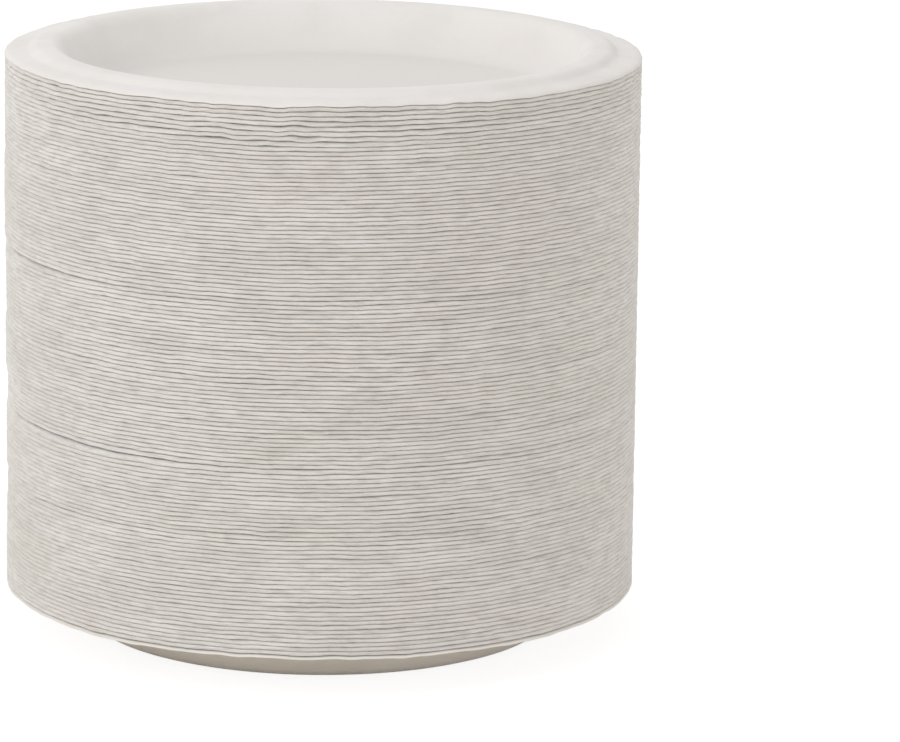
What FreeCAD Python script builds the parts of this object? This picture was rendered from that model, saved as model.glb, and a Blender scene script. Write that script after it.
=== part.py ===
import FreeCAD, Part
import os
import Sketcher

# A stack of round dinner plates pressed from fibre, nested wall in wall and standing on the lowest plate.
# Millimetres, +Z up. The origin is the centre of the lowest plate's flat underside.
# The top plate is a single plate of true section. The plates below it are joined in one solid, as the
# pages of a book would be: its underside is the lowest plate's and its upper side is the highest one's.
# One rim in its side stands for several of theirs.

SHEET = "Sizes"

# Each driving size: its name, its value and what it measures.
SIZES = (
    ("plate_count", 125, "plates in the stack"),
    ("plate_diameter", 228.6, "across the cut edge of the rim"),
    ("lip_width", 2.4, "width of the turned-down lip at the edge of the rim"),
    ("lip_drop", 0.6, "how far the lip turns down"),
    ("rim_width", 16.6, "width of the flat rim inside the lip"),
    ("upper_wall_width", 3.1, "how far the steep upper part of the wall goes in from the rim"),
    ("upper_wall_rise", 5.75, "height of that part"),
    ("lower_wall_width", 3.6, "how far the lower part of the wall goes in"),
    ("lower_wall_rise", 5.85, "height of that part"),
    ("bend_width", 5.1, "how far the soft bend goes in, down to the flat base"),
    ("bend_rise", 3.9, "height of the soft bend"),
    ("plate_thickness", 0.65, "pressed fibre, square to the surface"),
    ("seat_gap", 0.1, "clearance between the walls of two nested plates"),
    ("rim_count", 19, "rims in the side of the joined plates, each for several of theirs"),
    ("groove_depth", 0.9, "how far the grooves between those rims go in"),
    ("groove_height", 2.0, "from a rim's lower edge down to the bottom of the groove below it"),
)

# Radii of a plate's underside, from its edge inwards, as expressions of the sheet.
EDGE_RADIUS = "Sizes.plate_diameter / 2"
LIP_RADIUS = f"({EDGE_RADIUS} - Sizes.lip_width)"
WELL_RADIUS = f"({LIP_RADIUS} - Sizes.rim_width)"
WALL_RADIUS = f"({WELL_RADIUS} - Sizes.upper_wall_width)"
BEND_RADIUS = f"({WALL_RADIUS} - Sizes.lower_wall_width)"
BASE_RADIUS = f"({BEND_RADIUS} - Sizes.bend_width)"

# Its heights, from the base upwards.
BEND_HEIGHT = "Sizes.bend_rise"
WALL_HEIGHT = f"({BEND_HEIGHT} + Sizes.lower_wall_rise)"
RIM_HEIGHT = f"({WALL_HEIGHT} + Sizes.upper_wall_rise)"
LIP_HEIGHT = f"({RIM_HEIGHT} - Sizes.lip_drop)"

# Nested plates meet first where the wall is steepest, so that slope sets how high each one sits.
BEND_SLOPE = "Sizes.bend_rise / Sizes.bend_width"
LOWER_SLOPE = "Sizes.lower_wall_rise / Sizes.lower_wall_width"
UPPER_SLOPE = "Sizes.upper_wall_rise / Sizes.upper_wall_width"
STEEPEST = f"max({BEND_SLOPE}; {LOWER_SLOPE}; {UPPER_SLOPE})"
PITCH = f"((Sizes.plate_thickness + Sizes.seat_gap) * sqrt(1 + {STEEPEST} ^ 2))"

# The lip slopes while its cut edge is upright, so the edge is a little higher than the plate is thick.
CUT_EDGE = "(Sizes.plate_thickness * sqrt(1 + (Sizes.lip_drop / Sizes.lip_width) ^ 2))"

# From the lowest of the joined plates to the highest, and the height of their side.
JOINED_LIFT = f"((Sizes.plate_count - 2) * {PITCH})"
SIDE_HEIGHT = f"({JOINED_LIFT} + {CUT_EDGE})"

# How the sketcher names its root point.
ORIGIN = (-1, 1)


def make_sheet(doc):
    """The spreadsheet of driving sizes, each cell with its name as alias."""
    sheet = doc.addObject("Spreadsheet::Sheet", SHEET)
    for row, (alias, value, meaning) in enumerate(SIZES, start=1):
        sheet.set(f"A{row}", alias)
        sheet.set(f"B{row}", str(value))
        sheet.setAlias(f"B{row}", alias)
        sheet.set(f"C{row}", meaning)
    doc.recompute()
    return sheet


def worth(sheet, expression):
    """The number that an expression of the sheet comes to."""
    return float(sheet.evalExpression(expression))


def new_body(doc, label, level):
    """An empty body whose underside lies at the level, an expression."""
    body = doc.addObject("PartDesign::Body", label)
    body.Label = label
    body.setExpression("Placement.Base.z", level)
    return body


def new_sketch(body):
    """A sketch on the body's upright plane, with radii along its first axis and heights along its second."""
    plane = next(item for item in body.Origin.OriginFeatures if item.Role == "XZ_Plane")
    sketch = body.newObject("Sketcher::SketchObject", f"{body.Name}_section")
    sketch.AttachmentSupport = [(plane, "")]
    sketch.MapMode = "FlatFace"
    return sketch


def start_of(line):
    """The first end of a line, as the sketcher names it."""
    return (line, 1)


def end_of(line):
    """The second end of a line, as the sketcher names it."""
    return (line, 2)


def draw_line(sketch, start, end, construction=False):
    """One straight edge of a section, or a construction line."""
    edge = Part.LineSegment(FreeCAD.Vector(*start, 0), FreeCAD.Vector(*end, 0))
    return sketch.addGeometry(edge, construction)


def join(sketch, first, second):
    """Brings two ends together, each given as a line and which end of it."""
    sketch.addConstraint(Sketcher.Constraint("Coincident", *first, *second))


def draw_chain(sketch, points, construction=False):
    """Lines from point to point, joined at their ends."""
    lines = [draw_line(sketch, a, b, construction) for a, b in zip(points, points[1:])]
    for before, after in zip(lines, lines[1:]):
        join(sketch, end_of(before), start_of(after))
    return lines


def corners(lines):
    """The ends of a chain's lines, in order, as the sketcher names them."""
    return [start_of(lines[0])] + [end_of(line) for line in lines]


def bind(sketch, kind, where, value, expression):
    """A dimension between the places in where, bound to the expression."""
    index = sketch.addConstraint(Sketcher.Constraint(kind, *where, value))
    sketch.setExpression(f"Constraints[{index}]", expression)


def set_radius(sketch, corner, expression, sheet):
    """Places a corner at a radius."""
    bind(sketch, "DistanceX", (*ORIGIN, *corner), worth(sheet, expression), expression)


def set_height(sketch, corner, expression, sheet):
    """Places a corner at a height."""
    bind(sketch, "DistanceY", (*ORIGIN, *corner), worth(sheet, expression), expression)


def underside_points(sheet):
    """Where the underside of a plate turns, from the axis outwards."""
    radii = (BASE_RADIUS, BEND_RADIUS, WALL_RADIUS, WELL_RADIUS, LIP_RADIUS, EDGE_RADIUS)
    heights = ("0", BEND_HEIGHT, WALL_HEIGHT, RIM_HEIGHT, RIM_HEIGHT, LIP_HEIGHT)
    turns = [(worth(sheet, radius), worth(sheet, height)) for radius, height in zip(radii, heights)]
    return [(0, 0)] + turns


def lifted(points, height):
    """The same points, higher up."""
    return [(radius, level + height) for radius, level in points]


def draw_underside(sketch, sheet):
    """The underside of a plate: base, soft bend, lower and upper wall, rim and lip."""
    lines = draw_chain(sketch, underside_points(sheet))
    base, bend, lower_wall, upper_wall, rim, lip = lines
    join(sketch, start_of(base), ORIGIN)
    sketch.addConstraint(Sketcher.Constraint("Horizontal", base))
    sketch.addConstraint(Sketcher.Constraint("Horizontal", rim))
    set_radius(sketch, end_of(base), BASE_RADIUS, sheet)
    set_radius(sketch, end_of(bend), BEND_RADIUS, sheet)
    set_radius(sketch, end_of(lower_wall), WALL_RADIUS, sheet)
    set_radius(sketch, end_of(upper_wall), WELL_RADIUS, sheet)
    set_radius(sketch, end_of(rim), LIP_RADIUS, sheet)
    set_radius(sketch, end_of(lip), EDGE_RADIUS, sheet)
    set_height(sketch, end_of(bend), BEND_HEIGHT, sheet)
    set_height(sketch, end_of(lower_wall), WALL_HEIGHT, sheet)
    set_height(sketch, end_of(upper_wall), RIM_HEIGHT, sheet)
    set_height(sketch, end_of(lip), LIP_HEIGHT, sheet)
    return lines


def draw_upper_side(sketch, sheet, underside, construction=False):
    """The upper side of the same plate: each line runs beside its partner below, a plate thickness away."""
    thickness = worth(sheet, "Sizes.plate_thickness")
    lines = draw_chain(sketch, lifted(underside_points(sheet), thickness), construction)
    sketch.addConstraint(Sketcher.Constraint("Vertical", *ORIGIN, *start_of(lines[0])))
    for line, partner in zip(lines, underside):
        sketch.addConstraint(Sketcher.Constraint("Parallel", line, partner))
        bind(sketch, "Distance", (*start_of(line), partner), thickness, "Sizes.plate_thickness")
    sketch.addConstraint(Sketcher.Constraint("Vertical", *end_of(lines[-1]), *end_of(underside[-1])))
    return lines


def draw_raised_side(sketch, sheet, upper):
    """The upper side of the highest joined plate, straight above that of the lowest one."""
    lift = worth(sheet, JOINED_LIFT)
    thickness = worth(sheet, "Sizes.plate_thickness")
    lines = draw_chain(sketch, lifted(underside_points(sheet), thickness + lift))
    for low, high in zip(corners(upper), corners(lines)):
        sketch.addConstraint(Sketcher.Constraint("Vertical", *low, *high))
        bind(sketch, "DistanceY", (*low, *high), lift, JOINED_LIFT)
    return lines


def draw_rims(sketch, sheet, top_edge, bottom_edge):
    """The side of the joined plates: each rim widens downwards from the groove above it."""
    rims = int(worth(sheet, "Sizes.rim_count"))
    groove_radius = f"{EDGE_RADIUS} - Sizes.groove_depth"
    levels = [f"{LIP_HEIGHT} + {SIDE_HEIGHT} * {below} / Sizes.rim_count" for below in range(rims, -1, -1)]
    places = [(EDGE_RADIUS, levels[0])]
    for level, next_level in zip(levels, levels[1:]):
        places.append((groove_radius, f"{level} - Sizes.groove_height"))
        places.append((EDGE_RADIUS, next_level))
    lines = draw_chain(sketch, [(worth(sheet, radius), worth(sheet, height)) for radius, height in places])
    join(sketch, start_of(lines[0]), top_edge)
    join(sketch, end_of(lines[-1]), bottom_edge)
    for corner, (radius, height) in list(zip(corners(lines), places))[1:-1]:
        set_radius(sketch, corner, radius, sheet)
        set_height(sketch, corner, height, sheet)


def draw_closing_line(sketch, top, bottom, start, end):
    """The straight line that closes a section between two corners with known rough places."""
    line = draw_line(sketch, start, end)
    join(sketch, start_of(line), top)
    join(sketch, end_of(line), bottom)


def revolve(body, sketch):
    """The full turn of the section about the upright axis."""
    turn = body.newObject("PartDesign::Revolution", f"{body.Name}_turn")
    turn.Profile = sketch
    turn.ReferenceAxis = (sketch, ["V_Axis"])
    turn.Angle = 360


def add_top_plate(doc, sheet):
    """A single plate of true section, seated on the plates below it."""
    body = new_body(doc, "top_plate", f"(Sizes.plate_count - 1) * {PITCH}")
    sketch = new_sketch(body)
    below = underside_points(sheet)
    above = lifted(below, worth(sheet, "Sizes.plate_thickness"))
    underside = draw_underside(sketch, sheet)
    upper = draw_upper_side(sketch, sheet, underside)
    draw_closing_line(sketch, end_of(upper[-1]), end_of(underside[-1]), above[-1], below[-1])
    draw_closing_line(sketch, start_of(upper[0]), start_of(underside[0]), above[0], below[0])
    revolve(body, sketch)


def add_plates_below(doc, sheet):
    """Every other plate, joined in one solid with a rimmed side."""
    body = new_body(doc, "plates_below", "0")
    sketch = new_sketch(body)
    underside = draw_underside(sketch, sheet)
    upper = draw_upper_side(sketch, sheet, underside, construction=True)
    raised = draw_raised_side(sketch, sheet, upper)
    draw_rims(sketch, sheet, end_of(raised[-1]), end_of(underside[-1]))
    centre_height = worth(sheet, f"{JOINED_LIFT} + Sizes.plate_thickness")
    draw_closing_line(sketch, start_of(raised[0]), start_of(underside[0]), (0, centre_height), (0, 0))
    revolve(body, sketch)


def bodies(doc):
    """The sub-parts, each a body of the document."""
    return [item for item in doc.Objects if item.TypeId == "PartDesign::Body"]


def check(doc):
    """Stops if any object failed, or a body is not one valid solid."""
    for item in doc.Objects:
        if "Invalid" in item.State or "Error" in item.State:
            raise RuntimeError(f"{item.Label} failed: {item.State}")
    for body in bodies(doc):
        if body.Shape.isNull() or not body.Shape.isValid() or len(body.Shape.Solids) != 1:
            raise RuntimeError(f"{body.Label} is not one valid solid")


def build():
    """Makes the document, checks it and writes each sub-part."""
    doc = FreeCAD.newDocument("PlateStack")
    sheet = make_sheet(doc)
    add_plates_below(doc, sheet)
    add_top_plate(doc, sheet)
    doc.recompute()
    check(doc)
    os.makedirs("parts", exist_ok=True)
    for body in bodies(doc):
        body.Shape.exportStep(f"parts/{body.Label}.step")


build()
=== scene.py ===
"""Looks of a stack of 125 nested plates pressed from plant fibre.

Each plate is a closed shell of its own, turned from one section. The rims are then given what a
tall stack has: they lean on each other, ripple, and are trimmed a little off centre.
Everything is in metres, +Z up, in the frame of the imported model.
"""

import logging
import math
from dataclasses import dataclass, field
from enum import Enum

import bmesh
import bpy
import numpy as np
from mathutils import Matrix, Vector


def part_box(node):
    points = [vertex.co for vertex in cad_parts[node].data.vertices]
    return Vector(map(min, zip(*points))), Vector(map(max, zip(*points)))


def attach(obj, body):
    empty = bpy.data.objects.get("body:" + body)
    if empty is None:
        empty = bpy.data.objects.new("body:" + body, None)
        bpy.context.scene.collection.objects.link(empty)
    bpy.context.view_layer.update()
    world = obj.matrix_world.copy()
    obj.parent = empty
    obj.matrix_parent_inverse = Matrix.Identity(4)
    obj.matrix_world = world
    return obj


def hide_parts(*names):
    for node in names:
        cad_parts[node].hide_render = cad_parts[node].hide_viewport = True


LOG = logging.getLogger("plate_stack")
MM = 0.001
PLATE_COUNT = 125
TURN_SAMPLES = 720
MERGE_DISTANCE = 0.002 * MM
Colour = tuple[float, float, float]

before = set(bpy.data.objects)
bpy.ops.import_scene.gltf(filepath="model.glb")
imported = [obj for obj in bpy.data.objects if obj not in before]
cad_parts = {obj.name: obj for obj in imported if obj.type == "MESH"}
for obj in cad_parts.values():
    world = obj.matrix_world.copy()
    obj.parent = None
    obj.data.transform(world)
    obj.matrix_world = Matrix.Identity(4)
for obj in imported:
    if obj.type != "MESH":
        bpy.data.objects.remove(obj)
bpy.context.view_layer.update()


class Node(Enum):
    """The solids that the plates stand for."""

    TOP = "top_plate"
    BELOW = "plates_below"


class Slot(Enum):
    """The record's material slots."""

    TOP = "top_plate_fibre"
    BELOW = "plate_fibre"


class Detail(Enum):
    """How finely a section is drawn."""

    PLAIN = "plain"
    FULL = "full"


@dataclass(frozen=True)
class Corner:
    """A turn in the underside of a plate.

    The curve through it starts at ease from the corner and has the given number of steps.
    """

    radius: float
    height: float
    ease: float = 0.0
    steps: int = 0


@dataclass(frozen=True)
class LipTurn:
    """A turn in the lip's underside, by how far it lies inside the lip's inner face and below the rim."""

    inset: float
    drop: float
    ease: float = 0.0
    steps: int = 0


@dataclass(frozen=True)
class PlateSection:
    """The section of one plate, by its underside, and the shell that it turns into."""

    thickness: float = 0.65 * MM
    base_radius: float = 84.0 * MM
    bend_radius: float = 87.5 * MM
    bend_height: float = 4.4 * MM
    well_radius: float = 94.5 * MM
    ring_radius: float = 102.9 * MM
    ring_height: float = 17.5 * MM
    step_radius: float = 105.1 * MM
    rim_height: float = 15.5 * MM
    lip_radius: float = 111.7 * MM
    edge_radius: float = 114.3 * MM
    lip_drop: float = 0.84 * MM
    cut_softness: float = 0.14 * MM
    nested_softness: float = 0.08 * MM
    base_ease: float = 3.6 * MM
    bend_ease: float = 1.9 * MM
    well_ease: float = 3.2 * MM
    ring_ease: float = 1.1 * MM
    lip_ease: float = 0.6 * MM
    plain_lip: tuple[LipTurn, ...] = (LipTurn(0.48 * MM, 0.0), LipTurn(0.06 * MM, 0.24 * MM))
    full_lip: tuple[LipTurn, ...] = (
        LipTurn(0.75 * MM, 0.17 * MM, 0.35 * MM, 2), LipTurn(0.06 * MM, 0.48 * MM, 0.15 * MM, 2),
    )
    cut_reach: float = 0.75 * MM
    cut_slack: float = 0.3 * MM
    cut_level: float = 0.7

    def depth(self) -> float:
        """Height of a whole plate, up to the raised ring inside its rim."""
        return self.ring_height + self.thickness

    def lip_corners(self, detail: Detail) -> list[Corner]:
        """The lip's underside, from the flat rim to the cut edge.

        Args:
            detail: How finely it is drawn.

        Returns:
            Its corners, outwards.
        """
        inner = self.edge_radius - self.thickness
        if detail is Detail.PLAIN:
            turns = self.plain_lip
            made = []
        else:
            turns = self.full_lip
            made = [Corner(self.lip_radius, self.rim_height, self.lip_ease, 2)]
        for turn in turns:
            made.append(Corner(inner - turn.inset, self.rim_height - turn.drop, turn.ease, turn.steps))
        made.append(Corner(inner, self.rim_height - self.lip_drop))
        return made

    def corners(self, detail: Detail) -> list[Corner]:
        """The whole underside, from the axis outwards.

        Args:
            detail: FULL has the soft bends of the wall, the raised ring and the step outside it.

        Returns:
            Its corners, outwards.
        """
        centre = Corner(0.0, 0.0)
        bends = [
            Corner(self.base_radius, 0.0, self.base_ease, 4),
            Corner(self.bend_radius, self.bend_height, self.bend_ease, 3),
            Corner(self.well_radius, self.ring_height, self.well_ease, 6),
            Corner(self.ring_radius, self.ring_height, self.ring_ease, 4),
            Corner(self.step_radius, self.rim_height, self.ring_ease, 4),
        ]
        if detail is Detail.PLAIN:
            sharp = [Corner(bend.radius, bend.height) for bend in bends]
            return [centre, *sharp, *self.lip_corners(detail)]
        mid_base = Corner(0.5 * self.base_radius, 0.0)
        mid_rim = Corner(0.5 * (self.step_radius + self.lip_radius), self.rim_height)
        return [centre, mid_base, *bends, mid_rim, *self.lip_corners(detail)]

    def turn(self, steps: int, detail: Detail) -> bmesh.types.BMesh:
        """One plate, standing on the origin.

        Args:
            steps: Faces round the plate.
            detail: How finely the section is drawn.

        Returns:
            A new bmesh with the closed shell.
        """
        bm = bmesh.new()
        corners = self.corners(detail)
        chain = [bm.verts.new((corner.radius, 0.0, corner.height)) for corner in corners]
        for first, second in zip(chain, chain[1:]):
            bm.edges.new((first, second))
        for vertex, corner in zip(chain, corners):
            if corner.steps:
                bmesh.ops.bevel(bm, geom=[vertex], offset=corner.ease, offset_type="OFFSET",
                                segments=corner.steps, profile=0.5, affect="VERTICES", material=-1)
        bmesh.ops.spin(bm, geom=bm.verts[:] + bm.edges[:], cent=(0, 0, 0), axis=(0, 0, 1), dvec=(0, 0, 0),
                       angle=math.tau, steps=steps, use_merge=True, use_duplicate=False)
        bmesh.ops.remove_doubles(bm, verts=bm.verts[:], dist=MERGE_DISTANCE)
        bmesh.ops.recalc_face_normals(bm, faces=bm.faces[:])
        if sum(face.normal.z * face.calc_area() for face in bm.faces) > 0:
            bmesh.ops.reverse_faces(bm, faces=bm.faces[:])
        bmesh.ops.solidify(bm, geom=bm.faces[:], thickness=self.thickness)
        self.soften_cut_edge(bm, detail)
        return bm

    def soften_cut_edge(self, bm: bmesh.types.BMesh, detail: Detail) -> None:
        """Rounds the trimmed rim: both its edges, or the outer one where only that is seen.

        Args:
            bm: The shell.
            detail: How finely it is drawn.
        """
        full = detail is Detail.FULL
        cut = {face for face in bm.faces if self.is_cut(face)}
        ring = [edge for edge in bm.edges
                if len(cut.intersection(edge.link_faces)) == 1 and (full or self.is_outer(edge))]
        bmesh.ops.bevel(bm, geom=ring, offset=self.cut_softness if full else self.nested_softness,
                        offset_type="OFFSET", segments=2 if full else 1, profile=0.5, affect="EDGES",
                        material=-1)

    def is_outer(self, edge: bmesh.types.BMEdge) -> bool:
        """Whether an edge lies on the outside of the plate."""
        middle = 0.5 * (edge.verts[0].co + edge.verts[1].co)
        return math.hypot(middle.x, middle.y) > self.edge_radius - 0.5 * self.thickness

    def is_cut(self, face: bmesh.types.BMFace) -> bool:
        """Finds the trimmed edge: level, as wide as the fibre is thick, and at the lip's end.

        Args:
            face: A face of the shell.

        Returns:
            Whether it is part of the trimmed edge.
        """
        radii = [math.hypot(vertex.co.x, vertex.co.y) for vertex in face.verts]
        low = self.rim_height - self.lip_drop - self.cut_slack
        return (min(radii) > self.edge_radius - self.cut_reach
                and max(radii) - min(radii) > 0.5 * self.thickness
                and min(vertex.co.z for vertex in face.verts) > low
                and abs(face.normal.z) > self.cut_level)


@dataclass(frozen=True)
class Boundary:
    """Where two bundles of plates meet, and how far their rims gape there, round an angle."""

    above: int
    opening: float
    angle: float
    width: float


@dataclass(frozen=True)
class Ripple:
    """A patch in which a rim is crumpled, by the plate's number from the top and the angle."""

    plate: int
    angle: float
    width: float
    rise: float


@dataclass(frozen=True)
class Crumples:
    """How many crumpled patches a rim has, and the ranges of their angle, half width and rise."""

    count: int
    angles: tuple[float, float]
    widths: tuple[float, float]
    rises: tuple[float, float]

    def draw(self, plate: int, rng: np.random.Generator) -> list[Ripple]:
        """Draws the patches of one rim.

        Args:
            plate: The plate's number.
            rng: The seeded source of chance.

        Returns:
            The patches.
        """
        return [Ripple(plate, rng.uniform(*self.angles), rng.uniform(*self.widths), rng.uniform(*self.rises))
                for _ in range(self.count)]


@dataclass(frozen=True)
class Waves:
    """Waves round the stack: how many in a turn, how many plates each lasts, and their height."""

    orders: range
    memory: float
    size: float


@dataclass
class RimSettling:
    """How far each rim stands from its ideal place, round the stack.

    Angles start at the front and grow towards the left. Plates are numbered from the top.
    """

    pitch: float
    lip_height: float = 1.505 * MM
    spring: float = 0.92
    boundary_spring: float = 0.72
    seed: int = 11
    boundaries: tuple[Boundary, ...] = (
        Boundary(24, 1.1 * MM, 64.0, 22.0), Boundary(44, 1.5 * MM, 70.0, 18.0),
        Boundary(62, 0.4 * MM, 40.0, 30.0), Boundary(82, 1.5 * MM, 64.0, 22.0),
        Boundary(98, 0.6 * MM, 60.0, 25.0),
    )
    edge_insets: tuple[tuple[int, float], ...] = (
        (1, 0.35), (24, 0.3), (25, 0.0), (44, 0.0), (45, 0.25), (62, 0.55), (63, 0.1), (73, 0.15), (76, 0.8),
        (82, 0.85), (83, 0.3), (96, 0.25), (98, 0.7), (103, 0.6), (106, 0.25), (118, 0.0), (125, 0.0),
    )
    rim_waves: tuple[Waves, ...] = (
        Waves(range(1, 9), 12.0, 0.2 * MM), Waves(range(4, 48), 1.2, 0.12 * MM),
        Waves(range(40, 90), 0.6, 0.06 * MM),
    )
    trim_waves: tuple[Waves, ...] = (
        Waves(range(1, 12), 0.8, 0.12 * MM), Waves(range(12, 90), 0.5, 0.06 * MM),
    )
    wave_falloff: float = 0.7
    loose_last: int = 9
    pressed_last: int = 42
    loose_drop: float = 1.75 * MM
    loose_angle: float = 8.0
    loose_width: float = 42.0
    loose_everywhere: float = 0.62
    open_everywhere: float = 0.15
    open_memory: float = 12.0
    lift_limits: tuple[float, float] = (-2.2 * MM, 0.9 * MM)
    top_crumples: Crumples = Crumples(7, (4.0, 34.0), (0.9, 2.2), (-0.3 * MM, -0.1 * MM))
    front_crumples: Crumples = Crumples(8, (3.0, 27.0), (0.8, 1.6), (-0.8 * MM, 0.6 * MM))
    loose_crumples: Crumples = Crumples(6, (0.0, 360.0), (1.0, 3.0), (-0.2 * MM, 0.16 * MM))
    lone_crumple: Crumples = Crumples(1, (0.0, 360.0), (1.2, 5.0), (-0.2 * MM, 0.18 * MM))
    lone_count: int = 260
    turn: np.ndarray = field(init=False)
    lifts: np.ndarray = field(init=False)
    insets: np.ndarray = field(init=False)
    curls: np.ndarray = field(init=False)

    def __post_init__(self) -> None:
        """Works out the fields once."""
        rng = np.random.default_rng(self.seed)
        self.turn = np.linspace(0.0, math.tau, TURN_SAMPLES, endpoint=False)
        lifts = sum(self.drifting_waves(rng, waves) for waves in self.rim_waves)
        lifts += self.loose_top()
        lifts += self.bundle_openings()
        for ripple in self.ripples(rng):
            lifts[ripple.plate - 1] += ripple.rise * self.hump(ripple.angle, ripple.width)
        self.lifts = self.rest_on_each_other(lifts)
        self.insets = sum(self.drifting_waves(rng, waves) for waves in self.trim_waves)
        self.curls = self.spring_open()

    def spring_open(self) -> np.ndarray:
        """Lips stand up a little into the gap above them, most of all below a boundary.

        Returns:
            How much taller each lip is, for each plate and angle.
        """
        gaps = np.zeros((PLATE_COUNT, TURN_SAMPLES))
        gaps[1:] = self.lifts[:-1] - self.lifts[1:] + self.pitch - self.lip_height
        share = np.full(PLATE_COUNT, self.spring)
        for boundary in self.boundaries:
            share[boundary.above] = self.boundary_spring
        return gaps * share[:, None]

    def drifting_waves(self, rng: np.random.Generator, waves: Waves) -> np.ndarray:
        """Waves round the stack that change from plate to plate.

        Args:
            rng: The seeded source of chance.
            waves: Which waves.

        Returns:
            Heights for each plate and angle.
        """
        keep = math.exp(-1.0 / waves.memory)
        fresh = math.sqrt(1.0 - keep * keep)
        heights = np.zeros((PLATE_COUNT, TURN_SAMPLES))
        weights = np.array([1.0 / order ** self.wave_falloff for order in waves.orders])
        weights *= waves.size / math.sqrt(float((weights ** 2).sum()))
        for order, weight in zip(waves.orders, weights):
            cosine = np.cos(order * self.turn)
            sine = np.sin(order * self.turn)
            state = rng.normal(size=2)
            for plate in range(PLATE_COUNT):
                state = keep * state + fresh * rng.normal(size=2)
                heights[plate] += weight * (state[0] * cosine + state[1] * sine)
        return heights

    def hump(self, angle: float, width: float) -> np.ndarray:
        """A smooth bump of height 1 round an angle.

        Args:
            angle: Its middle, in degrees.
            width: Its half width, in degrees.

        Returns:
            The bump at every angle.
        """
        off = (np.degrees(self.turn) - angle + 180.0) % 360.0 - 180.0
        return np.exp(-0.5 * (off / width) ** 2)

    def round_angle(self, everywhere: float, angle: float, width: float) -> np.ndarray:
        """1 at an angle, and less away from it.

        Args:
            everywhere: The share that stays all round.
            angle: Where it is 1, in degrees.
            width: The half width of the rise, in degrees.

        Returns:
            The share at every angle.
        """
        return everywhere + (1.0 - everywhere) * self.hump(angle, width)

    def loose_top(self) -> np.ndarray:
        """The rims under the top plate stand further apart, and those below them are pressed together.

        Returns:
            Heights for each plate and angle.
        """
        numbers = np.arange(1, PLATE_COUNT + 1)
        drop = np.interp(numbers, (1, self.loose_last, self.pressed_last), (0.0, self.loose_drop, 0.0))
        share = self.round_angle(self.loose_everywhere, self.loose_angle, self.loose_width)
        return -drop[:, None] * share[None, :]

    def bundle_openings(self) -> np.ndarray:
        """The rims above and below each boundary between bundles stand apart, less so further away.

        Returns:
            Heights for each plate and angle.
        """
        lifts = np.zeros((PLATE_COUNT, TURN_SAMPLES))
        for boundary in self.boundaries:
            share = self.round_angle(self.open_everywhere, boundary.angle, boundary.width)
            for plate in range(1, PLATE_COUNT + 1):
                above = plate <= boundary.above
                away = boundary.above - plate if above else plate - boundary.above - 1
                half = 0.5 * boundary.opening * math.exp(-away / self.open_memory)
                lifts[plate - 1] += (half if above else -half) * share
        return lifts

    def ripples(self, rng: np.random.Generator) -> list[Ripple]:
        """The crumpled patches: many in the front of the uppermost rims, few elsewhere.

        Args:
            rng: The seeded source of chance.

        Returns:
            The patches.
        """
        made = self.top_crumples.draw(1, rng)
        for plate in range(2, self.loose_last + 1):
            made += self.front_crumples.draw(plate, rng)
            made += self.loose_crumples.draw(plate, rng)
        for _ in range(self.lone_count):
            plate = int(rng.integers(self.loose_last + 1, PLATE_COUNT + 1))
            made += self.lone_crumple.draw(plate, rng)
        return made

    def rest_on_each_other(self, lifts: np.ndarray) -> np.ndarray:
        """Keeps every rim on or above the one below it, and the top one inside the stack's height.

        Args:
            lifts: Wanted heights over the ideal place.

        Returns:
            Heights in which no lip goes into the next.
        """
        lifts = np.clip(lifts, *self.lift_limits)
        room = self.pitch - self.lip_height
        for plate in range(PLATE_COUNT - 2, -1, -1):
            lifts[plate] = np.maximum(lifts[plate], lifts[plate + 1] - room)
        lifts[0] = np.minimum(lifts[0] - lifts[0].max(), 0.0)
        for plate in range(1, PLATE_COUNT):
            lifts[plate] = np.minimum(lifts[plate], lifts[plate - 1] + room)
        return lifts

    def inset(self, plate: int) -> float:
        """How far the left edge of a plate lies inside the widest, from the table by plate number."""
        numbers, values = zip(*self.edge_insets)
        return float(np.interp(plate, numbers, values)) * MM

    def at(self, values: np.ndarray, plate: int, angles: np.ndarray) -> np.ndarray:
        """Looks one of the fields up.

        Args:
            values: The field, for each plate and angle.
            plate: The plate's number.
            angles: Where, in radians.

        Returns:
            Its values there.
        """
        return np.interp(angles, self.turn, values[plate - 1], period=math.tau)


@dataclass(frozen=True)
class Pattern:
    """A noise on object coordinates, and the range of its values that shows as patches.

    The scale is in features to a metre along each axis, and the offset sets two noises apart.
    """

    scale: tuple[float, float, float]
    offset: float
    detail: float
    low: float = 0.0
    high: float = 1.0


OFFSET_SHARES = (1.0, 1.7, 0.6)
NOISE_ROUGHNESS = 0.55
CLOUDS = Pattern((42.0, 42.0, 60.0), 0.0, 5.0, 0.38, 0.72)
FLECKS = Pattern((760.0, 760.0, 900.0), 5.3, 3.0, 0.6, 0.85)
GREEN_PATCHES = Pattern((15.0, 15.0, 34.0), 3.1, 2.0, 0.45, 0.68)
ROSE_PATCHES = Pattern((13.0, 13.0, 30.0), 8.7, 2.0, 0.45, 0.68)
LONG_STREAKS = Pattern((24.0, 24.0, 400.0), 1.9, 2.0, 0.4, 0.68)
SHORT_STREAKS = Pattern((150.0, 150.0, 900.0), 7.3, 2.0, 0.42, 0.7)
FELT = Pattern((310.0, 310.0, 310.0), 2.2, 4.0)
GRAIN = Pattern((1500.0, 1500.0, 1500.0), 6.1, 3.0)
CREASES = Pattern((260.0, 260.0, 900.0), 4.4, 3.0)


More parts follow.
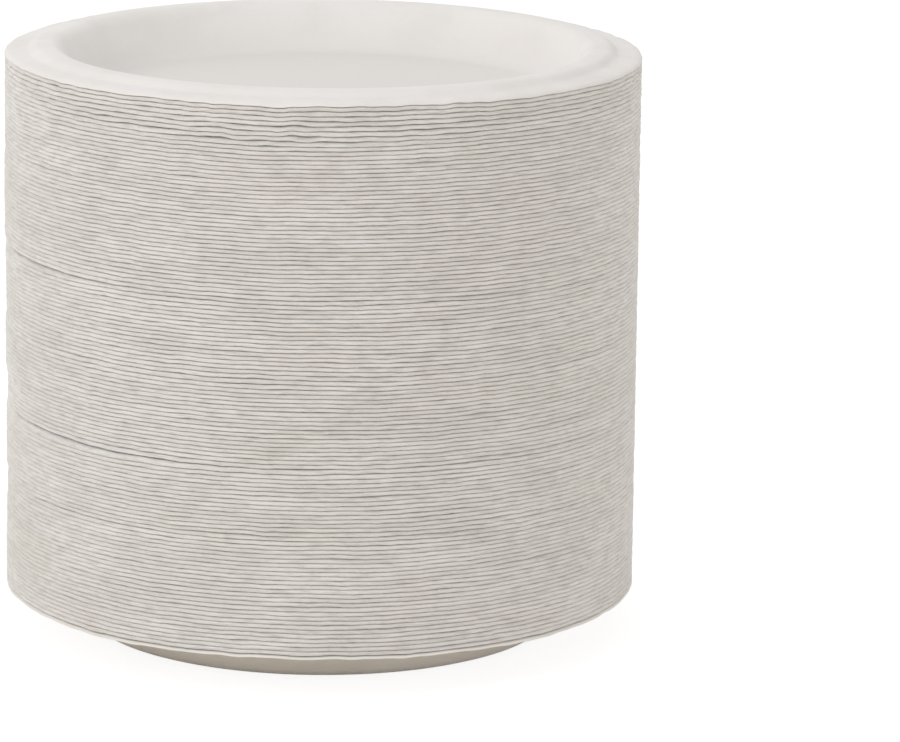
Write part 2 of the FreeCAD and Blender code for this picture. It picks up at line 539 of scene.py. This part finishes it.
@dataclass(frozen=True)
class Fibre:
    """Pressed plant fibre: matt, a little mottled, with a fine grain in the surface."""

    name: str
    colour: Colour
    shade: Colour
    green_tint: Colour
    rose_tint: Colour
    tint_share: float
    # The darker streak colour: partly random tone, partly painted shade along the rims.
    streak_tone_and_painted_shade: Colour | None = None
    streak_share: float = 0.0
    # How strongly the well is painted in shade.
    painted_well_shade: float = 0.0
    creases: float = 0.0
    roughness: float = 0.78
    specular: float = 0.28
    grain: float = 0.16
    translucence: float = 0.0
    light_depth: float = 0.5 * MM
    cloud_share: float = 0.55
    fleck_share: float = 0.35
    # The radii over which the well's painted shade fades out towards the rim.
    painted_well_shade_radii: tuple[float, float] = (80.0 * MM, 94.0 * MM)
    felt_height: float = 0.4 * MM
    grain_height: float = 0.15 * MM
    crease_height: float = 0.6 * MM

    def material(self) -> bpy.types.Material:
        """Builds the node material.

        Returns:
            The material.
        """
        made = bpy.data.materials.new(self.name)
        made.use_nodes = True
        tree = made.node_tree
        shader = tree.nodes["Principled BSDF"]
        shader.inputs["Roughness"].default_value = self.roughness
        shader.inputs["Specular IOR Level"].default_value = self.specular
        shader.inputs["Subsurface Weight"].default_value = self.translucence
        shader.inputs["Subsurface Radius"].default_value = (1.0, 1.0, 1.0)
        shader.inputs["Subsurface Scale"].default_value = self.light_depth
        colour = None
        for pattern, top, tone in self.patches():
            colour = self.blend(tree, self.share(tree, pattern, top), colour, tone)
        # Painted shade: the well's colour goes towards the shade colour.
        if self.painted_well_shade:
            colour = self.blend(tree, self.well(tree), colour, self.shade)
        tree.links.new(colour, shader.inputs["Base Color"])
        tree.links.new(self.relief(tree), shader.inputs["Normal"])
        return made

    def patches(self) -> list[tuple[Pattern, float, Colour]]:
        """What lies over the fibre's own colour, from the lowest layer up.

        The clouds and flecks are in the fibre, and the green and rose patches lie over many plates.
        Streaks, where there are any, make each plate a little lighter or darker than its neighbours: partly
        random tone, partly painted shade that makes the dark lines between the rims uneven.

        Returns:
            Each layer's pattern, its strongest share and its colour.
        """
        layers = [
            (CLOUDS, self.cloud_share, self.shade),
            (FLECKS, self.fleck_share, self.shade),
            (GREEN_PATCHES, self.tint_share, self.green_tint),
            (ROSE_PATCHES, self.tint_share, self.rose_tint),
        ]
        # Partly random tone, partly painted shade along the rims.
        if self.streak_tone_and_painted_shade:
            layers.append((LONG_STREAKS, self.streak_share, self.shade))
            layers.append((SHORT_STREAKS, self.streak_share, self.streak_tone_and_painted_shade))
        return layers

    def noise(self, tree: bpy.types.NodeTree, pattern: Pattern) -> bpy.types.NodeSocket:
        """A noise on object coordinates.

        Args:
            tree: The material's nodes.
            pattern: Which noise.

        Returns:
            The noise's value.
        """
        place = tree.nodes.new("ShaderNodeTexCoord")
        mapping = tree.nodes.new("ShaderNodeMapping")
        mapping.inputs["Scale"].default_value = pattern.scale
        mapping.inputs["Location"].default_value = [pattern.offset * share for share in OFFSET_SHARES]
        tree.links.new(place.outputs["Object"], mapping.inputs["Vector"])
        noise = tree.nodes.new("ShaderNodeTexNoise")
        noise.inputs["Scale"].default_value = 1.0
        noise.inputs["Detail"].default_value = pattern.detail
        noise.inputs["Roughness"].default_value = NOISE_ROUGHNESS
        tree.links.new(mapping.outputs["Vector"], noise.inputs["Vector"])
        return noise.outputs["Fac"]

    def share(self, tree: bpy.types.NodeTree, pattern: Pattern, top: float) -> bpy.types.NodeSocket:
        """How much a pattern shows at a place.

        Args:
            tree: The material's nodes.
            pattern: Which noise, and the range of it that shows.
            top: The highest share.

        Returns:
            The share, from 0 to top.
        """
        mapped = tree.nodes.new("ShaderNodeMapRange")
        mapped.interpolation_type = "SMOOTHSTEP"
        mapped.inputs["From Min"].default_value = pattern.low
        mapped.inputs["From Max"].default_value = pattern.high
        mapped.inputs["To Max"].default_value = top
        tree.links.new(self.noise(tree, pattern), mapped.inputs["Value"])
        return mapped.outputs["Result"]

    def blend(self, tree: bpy.types.NodeTree, share: bpy.types.NodeSocket,
              first: bpy.types.NodeSocket | None, second: Colour) -> bpy.types.NodeSocket:
        """Mixes a colour over another.

        Args:
            tree: The material's nodes.
            share: How much of the second colour.
            first: The colour below, or none for the fibre's own.
            second: The colour above.

        Returns:
            The mixed colour.
        """
        mix = tree.nodes.new("ShaderNodeMix")
        mix.data_type = "RGBA"
        mix.inputs["A"].default_value = (*self.colour, 1.0)
        mix.inputs["B"].default_value = (*second, 1.0)
        tree.links.new(share, mix.inputs["Factor"])
        if first is not None:
            tree.links.new(first, mix.inputs["A"])
        return mix.outputs["Result"]

    def well(self, tree: bpy.types.NodeTree) -> bpy.types.NodeSocket:
        """Painted shade: the well is coloured a little darker than the rim, towards the shade colour.

        Args:
            tree: The material's nodes.

        Returns:
            1 in the well and 0 on the rim, times the share.
        """
        place = tree.nodes.new("ShaderNodeTexCoord")
        flat = tree.nodes.new("ShaderNodeVectorMath")
        flat.operation = "MULTIPLY"
        flat.inputs[1].default_value = (1.0, 1.0, 0.0)
        tree.links.new(place.outputs["Object"], flat.inputs[0])
        away = tree.nodes.new("ShaderNodeVectorMath")
        away.operation = "LENGTH"
        tree.links.new(flat.outputs["Vector"], away.inputs[0])
        share = tree.nodes.new("ShaderNodeMapRange")
        share.interpolation_type = "SMOOTHSTEP"
        share.inputs["From Min"].default_value = self.painted_well_shade_radii[0]
        share.inputs["From Max"].default_value = self.painted_well_shade_radii[1]
        share.inputs["To Min"].default_value = self.painted_well_shade
        share.inputs["To Max"].default_value = 0.0
        tree.links.new(away.outputs["Value"], share.inputs["Value"])
        return share.outputs["Result"]

    def relief(self, tree: bpy.types.NodeTree) -> bpy.types.NodeSocket:
        """The felt of fibres, the fine grain and any creases, each as bump on the one before.

        Args:
            tree: The material's nodes.

        Returns:
            The bent normal.
        """
        layers = [(FELT, self.grain, self.felt_height), (GRAIN, self.grain, self.grain_height)]
        if self.creases:
            layers.append((CREASES, self.creases, self.crease_height))
        normal = None
        for pattern, strength, height in layers:
            bump = tree.nodes.new("ShaderNodeBump")
            bump.inputs["Strength"].default_value = strength
            bump.inputs["Distance"].default_value = height
            tree.links.new(self.noise(tree, pattern), bump.inputs["Height"])
            if normal is not None:
                tree.links.new(normal, bump.inputs["Normal"])
            normal = bump.outputs["Normal"]
        return normal


# The top plate's fibre, with painted shade in its well.
TOP_FIBRE_AND_WELL_SHADE = Fibre(
    name="pressed_fibre_top_and_painted_well_shade",
    colour=(0.872, 0.848, 0.832),
    shade=(0.79, 0.768, 0.742),
    green_tint=(0.83, 0.822, 0.785),
    rose_tint=(0.85, 0.81, 0.79),
    tint_share=0.25,
    painted_well_shade=1.0,
)
# The rims' fibre is the same fibre coloured darker than the top plate's: partly painted shade of the stack's
# side, which gets less light than the top.
RIM_FIBRE_AND_PAINTED_SHADE = Fibre(
    name="pressed_fibre_rims_and_painted_shade",
    colour=(0.825, 0.82, 0.814),
    shade=(0.70, 0.69, 0.672),
    green_tint=(0.765, 0.77, 0.73),
    rose_tint=(0.80, 0.77, 0.758),
    tint_share=0.6,
    streak_tone_and_painted_shade=(0.60, 0.585, 0.562),
    streak_share=0.5,
    creases=1.0,
    grain=0.22,
    translucence=0.5,
)
# The lowest plate's fibre is coloured lighter than the rims': painted light that brightens its shaded foot.
BASE_FIBRE_AND_PAINTED_LIGHT = Fibre(
    name="pressed_fibre_lowest_and_painted_light",
    colour=(0.845, 0.83, 0.805),
    shade=(0.76, 0.745, 0.715),
    green_tint=(0.80, 0.80, 0.75),
    rose_tint=(0.82, 0.79, 0.765),
    tint_share=0.4,
)


@dataclass(frozen=True)
class Bundle:
    """Some neighbouring plates, which make one piece.

    Plates are numbered from the top.
    """

    name: str
    first: int
    last: int
    steps: int = 184
    detail: Detail = Detail.PLAIN

    def numbers(self) -> range:
        """The plates' numbers."""
        return range(self.first, self.last + 1)


@dataclass
class PlateStack:
    """The whole stack, in its pieces.

    A plate keeps its place up to the stiff radius, and its rim moves outside it. A lip that stands up
    leans inwards by lip_lean times its rise, and takes the rim along from lip_reach inside the lip.
    """

    section: PlateSection = field(default_factory=PlateSection)
    settling: RimSettling = field(init=False)
    stiff_radius: float = 100.0 * MM
    lip_reach: float = 3.0 * MM
    lip_lean: float = 1.3
    bundles: tuple[Bundle, ...] = (
        Bundle("top_plate_shell", 1, 1, 480, Detail.FULL),
        Bundle("loose_plates", 2, 9, 440),
        Bundle("first_bundle", 10, 24),
        Bundle("second_bundle", 25, 44),
        Bundle("third_bundle", 45, 62),
        Bundle("fourth_bundle", 63, 82),
        Bundle("fifth_bundle", 83, 98),
        Bundle("last_bundle", 99, 124),
        Bundle("lowest_plate_shell", 125, 125, 360, Detail.FULL),
    )

    def __post_init__(self) -> None:
        """Lets the rims settle on each other."""
        self.settling = RimSettling(self.pitch())

    def pitch(self) -> float:
        """Height from one plate to the next, so that the top one's ring ends the stack."""
        return (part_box(Node.TOP.value)[1].z - self.section.depth()) / (PLATE_COUNT - 1)

    def seat(self, plate: int) -> float:
        """Height of a plate's underside over the ground."""
        return self.pitch() * (PLATE_COUNT - plate)

    def build(self) -> list[bpy.types.Object]:
        """Makes and dresses every piece.

        Returns:
            The pieces.
        """
        rim_painted_shade_finish = RIM_FIBRE_AND_PAINTED_SHADE.material()
        finishes = {1: TOP_FIBRE_AND_WELL_SHADE.material(), PLATE_COUNT: BASE_FIBRE_AND_PAINTED_LIGHT.material()}
        made = []
        for bundle in self.bundles:
            is_top = bundle.first == 1
            piece = self.build_bundle(bundle)
            self.dress(piece, finishes.get(bundle.first, rim_painted_shade_finish))
            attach(piece, "root")
            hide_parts((Node.TOP if is_top else Node.BELOW).value)
            made.append(piece)
        return made

    def build_bundle(self, bundle: Bundle) -> bpy.types.Object:
        """One piece with all the plates of a bundle.

        Args:
            bundle: Which plates.

        Returns:
            The piece.
        """
        bm = self.section.turn(bundle.steps, bundle.detail)
        pattern = bm.verts[:] + bm.edges[:] + bm.faces[:]
        size = len(bm.verts)
        base = self.seat(bundle.first)
        for plate in bundle.numbers()[1:]:
            copy = bmesh.ops.duplicate(bm, geom=pattern)["geom"]
            moved = [item for item in copy if isinstance(item, bmesh.types.BMVert)]
            bmesh.ops.translate(bm, verts=moved, vec=(0.0, 0.0, self.seat(plate) - base))
        bmesh.ops.translate(bm, verts=bm.verts[:], vec=(0.0, 0.0, base))
        mesh = bpy.data.meshes.new(bundle.name)
        bm.to_mesh(mesh)
        bm.free()
        self.settle(mesh, bundle, size)
        mesh.shade_smooth()
        piece = bpy.data.objects.new(bundle.name, mesh)
        bpy.context.scene.collection.objects.link(piece)
        return piece

    def settle(self, mesh: bpy.types.Mesh, bundle: Bundle, size: int) -> None:
        """Moves the rims of each plate in a mesh to where they rest, and leaves the wells in place.

        Args:
            mesh: The mesh of the bundle, plate after plate.
            bundle: Which plates it holds.
            size: Vertices in one plate.
        """
        places = np.zeros(len(mesh.vertices) * 3)
        mesh.vertices.foreach_get("co", places)
        places = places.reshape(-1, 3)
        for order, plate in enumerate(bundle.numbers()):
            part = places[order * size:(order + 1) * size]
            radii = np.hypot(part[:, 0], part[:, 1])
            angles = np.arctan2(-part[:, 0], -part[:, 1])
            share = self.rim_share(radii)
            lift = self.settling.at(self.settling.lifts, plate, angles)
            curl = self.settling.at(self.settling.curls, plate, angles)
            curl *= self.lip_share(radii, part[:, 2] - self.seat(plate))
            inset = np.abs(self.settling.at(self.settling.insets, plate, angles))
            shift = 0.5 * self.settling.inset(plate)
            inwards = (inset + shift) * share + self.lip_lean * curl
            part[:, :2] *= 1.0 - inwards[:, None] / self.section.edge_radius
            part[:, 0] += shift * share
            part[:, 2] += lift * share + curl
        mesh.vertices.foreach_set("co", places.ravel())
        mesh.update()

    def rim_share(self, radii: np.ndarray) -> np.ndarray:
        """How freely a plate moves: not at all up to its stiff part, and fully at its edge.

        Args:
            radii: Distances from the axis.

        Returns:
            Shares from 0 to 1.
        """
        reach = self.section.edge_radius - self.stiff_radius
        share = np.clip((radii - self.stiff_radius) / reach, 0.0, 1.0)
        return share * share * (3.0 - 2.0 * share)

    def lip_share(self, radii: np.ndarray, heights: np.ndarray) -> np.ndarray:
        """How far a vertex goes along when its lip stands up: the more, the higher on the lip.

        Args:
            radii: Distances from the axis.
            heights: Heights over the plate's base.

        Returns:
            Shares from 0 to 1.
        """
        level = heights - self.section.rim_height + self.section.lip_drop
        level = np.clip(level / (self.section.lip_drop + self.section.thickness), 0.0, 1.0)
        outside = np.clip((radii - self.section.lip_radius) / self.lip_reach + 1.0, 0.0, 1.0)
        return level * outside

    def dress(self, piece: bpy.types.Object, finish: bpy.types.Material) -> None:
        """Gives a piece its finish."""
        piece.data.materials.append(finish)


@dataclass(frozen=True)
class Softbox:
    """A square lamp that looks at the stack."""

    name: str
    place: tuple[float, float, float]
    size: float
    power: float
    aim: tuple[float, float, float] = (0.0, 0.0, 0.12)

    def light(self) -> None:
        """Adds the lamp."""
        lamp = bpy.data.lights.new(self.name, "AREA")
        lamp.shape = "SQUARE"
        lamp.size = self.size
        lamp.energy = self.power
        holder = bpy.data.objects.new(self.name, lamp)
        holder.location = self.place
        holder.rotation_euler = (Vector(self.aim) - Vector(self.place)).to_track_quat("-Z", "Y").to_euler()
        bpy.context.scene.collection.objects.link(holder)


@dataclass
class Studio:
    """The white floor, the lamps, the surrounding light and the camera."""

    floor_size: float = 12.0
    floor_drop: float = 0.1 * MM
    floor_glow: float = 0.88
    floor_colour: Colour = (0.93, 0.85, 0.755)
    floor_shadow: Colour = (0.22, 0.22, 0.22)
    sky_colour: Colour = (1.0, 0.99, 0.975)
    sky_strength: float = 0.725
    camera_place: tuple[float, float, float] = (0.0, -1.9046, 0.5217)
    camera_pitch: float = 12.718
    camera_yaw: float = 1.407
    camera_roll: float = 0.693
    camera_lens: float = 215.06
    camera_sensor: float = 36.0
    camera_clip: tuple[float, float] = (0.05, 50.0)
    lamps: tuple[Softbox, ...] = (
        Softbox("key_softbox", (-1.4, -1.1, 1.4), 1.2, 11.0),
        Softbox("fill_softbox", (1.5, -1.6, 0.8), 1.6, 3.2),
        Softbox("rear_softbox", (-0.3, 0.8, 0.6), 0.6, 1.1),
    )

    def build(self) -> None:
        """Adds everything."""
        self.add_floor()
        self.add_sky()
        for lamp in self.lamps:
            lamp.light()
        self.add_camera()
        bpy.context.scene.view_settings.view_transform = "Standard"

    def add_floor(self) -> None:
        """A level floor that the camera sees as white, with the stack's own shadow in it."""
        bm = bmesh.new()
        bmesh.ops.create_grid(bm, x_segments=1, y_segments=1, size=self.floor_size / 2)
        bmesh.ops.translate(bm, verts=bm.verts[:], vec=(0.0, 0.0, -self.floor_drop))
        mesh = bpy.data.meshes.new("floor")
        bm.to_mesh(mesh)
        bm.free()
        floor = bpy.data.objects.new("floor", mesh)
        bpy.context.scene.collection.objects.link(floor)
        mesh.materials.append(self.floor_material())

    def floor_material(self) -> bpy.types.Material:
        """Matt paper white, with a glow that only the camera and mirrors see.

        Returns:
            The material.
        """
        made = bpy.data.materials.new("floor_white")
        made.use_nodes = True
        tree = made.node_tree
        shader = tree.nodes["Principled BSDF"]
        shader.inputs["Roughness"].default_value = 1.0
        shader.inputs["Specular IOR Level"].default_value = 0.0
        shader.inputs["Base Color"].default_value = (*self.floor_colour, 1.0)
        dim = tree.nodes.new("ShaderNodeBsdfDiffuse")
        dim.inputs["Color"].default_value = (*self.floor_shadow, 1.0)
        glow = tree.nodes.new("ShaderNodeEmission")
        glow.inputs["Strength"].default_value = self.floor_glow
        bright = tree.nodes.new("ShaderNodeAddShader")
        tree.links.new(dim.outputs["BSDF"], bright.inputs[0])
        tree.links.new(glow.outputs["Emission"], bright.inputs[1])
        rays = tree.nodes.new("ShaderNodeLightPath")
        mix = tree.nodes.new("ShaderNodeMixShader")
        tree.links.new(self.seen(tree, rays), mix.inputs["Fac"])
        tree.links.new(shader.outputs["BSDF"], mix.inputs[1])
        tree.links.new(bright.outputs["Shader"], mix.inputs[2])
        tree.links.new(mix.outputs["Shader"], tree.nodes["Material Output"].inputs["Surface"])
        return made

    def seen(self, tree: bpy.types.NodeTree, rays: bpy.types.Node) -> bpy.types.NodeSocket:
        """Tells rays from the camera, a mirror or glass from those that light the stack.

        Args:
            tree: The nodes it is added to.
            rays: The light path node.

        Returns:
            1 for the first and 0 for the others.
        """
        first = tree.nodes.new("ShaderNodeMath")
        first.operation = "MAXIMUM"
        tree.links.new(rays.outputs["Is Camera Ray"], first.inputs[0])
        tree.links.new(rays.outputs["Is Glossy Ray"], first.inputs[1])
        second = tree.nodes.new("ShaderNodeMath")
        second.operation = "MAXIMUM"
        tree.links.new(first.outputs["Value"], second.inputs[0])
        tree.links.new(rays.outputs["Is Transmission Ray"], second.inputs[1])
        return second.outputs["Value"]

    def add_sky(self) -> None:
        """Even light from all round, which the camera sees as white."""
        world = bpy.data.worlds.new("soft_surround")
        world.use_nodes = True
        tree = world.node_tree
        light = tree.nodes["Background"]
        light.inputs["Color"].default_value = (*self.sky_colour, 1.0)
        light.inputs["Strength"].default_value = self.sky_strength
        white = tree.nodes.new("ShaderNodeBackground")
        white.inputs["Strength"].default_value = 1.0
        rays = tree.nodes.new("ShaderNodeLightPath")
        mix = tree.nodes.new("ShaderNodeMixShader")
        tree.links.new(self.seen(tree, rays), mix.inputs["Fac"])
        tree.links.new(light.outputs["Background"], mix.inputs[1])
        tree.links.new(white.outputs["Background"], mix.inputs[2])
        tree.links.new(mix.outputs["Shader"], tree.nodes["World Output"].inputs["Surface"])
        bpy.context.scene.world = world

    def add_camera(self) -> None:
        """The camera that the stack is seen from."""
        data = bpy.data.cameras.new("camera")
        data.sensor_width = self.camera_sensor
        data.lens = self.camera_lens
        data.clip_start, data.clip_end = self.camera_clip
        camera = bpy.data.objects.new("camera", data)
        camera.location = self.camera_place
        aim = (Matrix.Rotation(-math.radians(self.camera_yaw), 3, "Z")
               @ Matrix.Rotation(math.radians(90.0 - self.camera_pitch), 3, "X")
               @ Matrix.Rotation(math.radians(self.camera_roll), 3, "Z"))
        camera.rotation_euler = aim.to_euler()
        bpy.context.scene.collection.objects.link(camera)
        bpy.context.scene.camera = camera


def main() -> None:
    """Builds the stage and the stack, and reports each piece."""
    logging.basicConfig(level=logging.INFO, format="%(name)s: %(message)s")
    Studio().build()
    total = 0
    for piece in PlateStack().build():
        triangles = sum(len(face.vertices) - 2 for face in piece.data.polygons)
        total += triangles
        LOG.info("%s: %d triangles", piece.name, triangles)
    LOG.info("all pieces: %d triangles", total)


if __name__ == "__main__":
    main()
